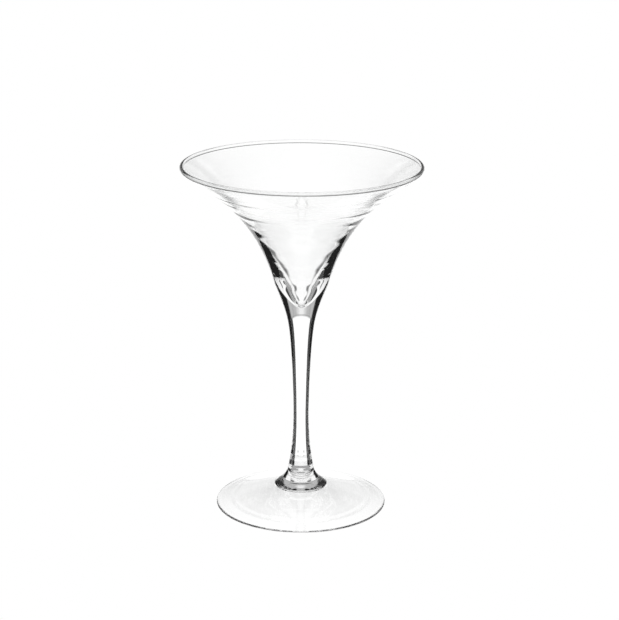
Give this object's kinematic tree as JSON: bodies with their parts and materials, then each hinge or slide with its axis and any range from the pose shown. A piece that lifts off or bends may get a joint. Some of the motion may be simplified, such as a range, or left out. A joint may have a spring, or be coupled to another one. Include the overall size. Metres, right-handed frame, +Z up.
{
  "type": "martini glass",
  "caption": "Clear stemmed martini glass with a flared trumpet bowl, solid drawn stem, small collar and wide shallow foot.",
  "frame": {"origin": "on the glass's axis, at the plane of the ring that the foot stands on", "axes": "+Z up along the axis of the stem, towards the lip; the shape is the same all round, so +X and +Y are free"},
  "size_m": [0.1224, 0.1224, 0.18],
  "materials": {
    "bowl_glass": "clear colourless blown glass, fire-polished",
    "stem_glass": "clear colourless drawn glass, fire-polished",
    "collar_glass": "clear colourless glass, fire-polished",
    "foot_glass": "clear colourless pressed glass, fire-polished"
  },
  "bodies": {
    "root": {"bowl": "bowl_glass", "stem": "stem_glass", "collar": "collar_glass", "foot": "foot_glass"}
  },
  "joints": []
}
